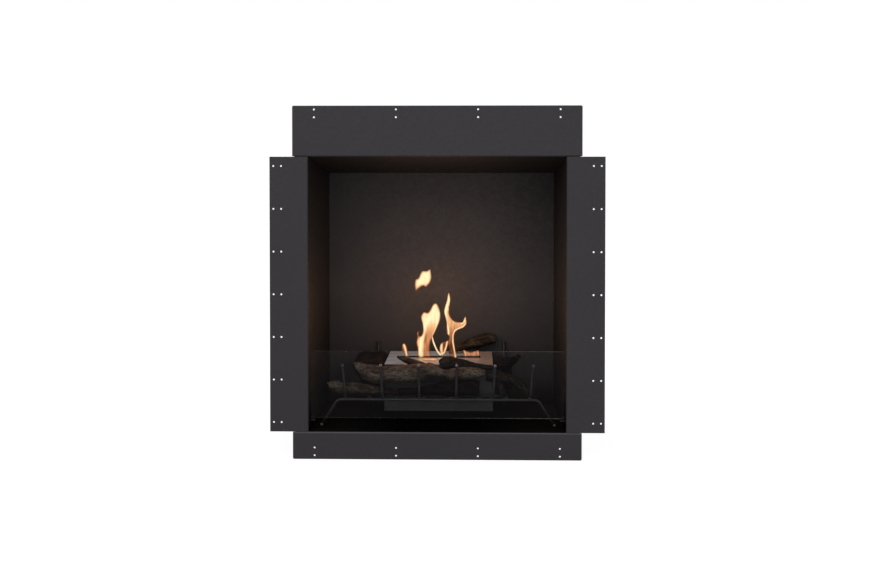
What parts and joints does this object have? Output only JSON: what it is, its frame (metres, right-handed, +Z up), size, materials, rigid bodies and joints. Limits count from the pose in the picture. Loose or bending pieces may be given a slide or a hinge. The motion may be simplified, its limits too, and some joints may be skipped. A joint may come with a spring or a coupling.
{
  "type": "built-in firebox insert",
  "caption": "Built-in ethanol firebox: flanged steel fire chamber in a casing, glass screen, slotted burner with sliding damper, rod grate and ceramic logs.",
  "frame": {"origin": "middle of the footprint at the level of the bottom flange's lower edge", "axes": "+X to the viewer's right, +Y from the room into the firebox, +Z up"},
  "size_m": [0.696, 0.3856, 0.736],
  "materials": {
    "powder_coat": "charcoal fine-texture powder coat, satin",
    "chamber_black": "black heat-proof powder coat, satin",
    "casing_black": "black powder coat, satin",
    "zinc_steel": "zinc-plated sheet steel, dull",
    "clear_glass": "clear tempered glass with ground edges, faint grey tint",
    "brushed_steel": "brushed stainless steel",
    "ceramic_wool": "soft pale ceramic wool felt",
    "grate_steel": "black satin stove enamel on round steel rod",
    "ceramic_log": "matt cast ceramic, coloured like weathered driftwood"
  },
  "bodies": {
    "housing": {"back_panel": "chamber_black", "back_spacer": "zinc_steel", "base_rail_left": "casing_black", "base_rail_right": "casing_black", "bottom_panel": "powder_coat", "burner_stand": "chamber_black", "burner_tank": "chamber_black", "burner_top_plate": "brushed_steel", "burner_wick": "ceramic_wool", "casing_back": "casing_black", "casing_base": "casing_black", "casing_left": "casing_black", "casing_right": "casing_black", "casing_screw_1": "zinc_steel", "casing_screw_2": "zinc_steel", "casing_screw_3": "zinc_steel", "casing_screw_4": "zinc_steel", "casing_top": "casing_black", "damper_guide_left": "brushed_steel", "damper_guide_right": "brushed_steel", "floor_spacer_left": "zinc_steel", "floor_spacer_right": "zinc_steel", "glass_clip_left": "grate_steel", "glass_clip_pin_left": "brushed_steel", "glass_clip_pin_right": "brushed_steel", "glass_clip_right": "grate_steel", "side_panel_left": "powder_coat", "side_panel_right": "powder_coat", "top_panel": "powder_coat", "top_spacer": "zinc_steel", "wall_spacer_left": "zinc_steel", "wall_spacer_right": "zinc_steel"},
    "glass": {"glass_screen": "clear_glass"},
    "damper": {"damper_plate": "brushed_steel"},
    "grate": {"grate_cross_bar_1": "grate_steel", "grate_cross_bar_2": "grate_steel", "grate_cross_bar_3": "grate_steel", "grate_cross_bar_4": "grate_steel", "grate_front_rail": "grate_steel", "grate_inner_rail": "grate_steel", "grate_post_left": "grate_steel", "grate_post_right": "grate_steel", "grate_rear_rail": "grate_steel", "grate_side_bar_left": "grate_steel", "grate_side_bar_right": "grate_steel", "grate_tine_1": "grate_steel", "grate_tine_2": "grate_steel", "grate_tine_3": "grate_steel", "grate_tine_4": "grate_steel", "grate_tine_5": "grate_steel", "grate_tine_6": "grate_steel", "log_back": "ceramic_log", "log_forked": "ceramic_log", "log_knotted": "ceramic_log", "log_long": "ceramic_log", "log_lower_centre": "ceramic_log", "log_lower_left": "ceramic_log", "log_lower_right": "ceramic_log", "log_split": "ceramic_log"}
  },
  "joints": [
    {"name": "glass_lift", "type": "slide", "parent": "housing", "child": "glass", "axis": [0, 0, 1], "range_m": [0, 0.15]},
    {"name": "damper_slide", "type": "slide", "parent": "housing", "child": "damper", "axis": [0, 1, 0], "range_m": [0, 0.03]},
    {"name": "grate_lift", "type": "slide", "parent": "housing", "child": "grate", "axis": [0, 0, 1], "range_m": [0, 0.12]}
  ]
}
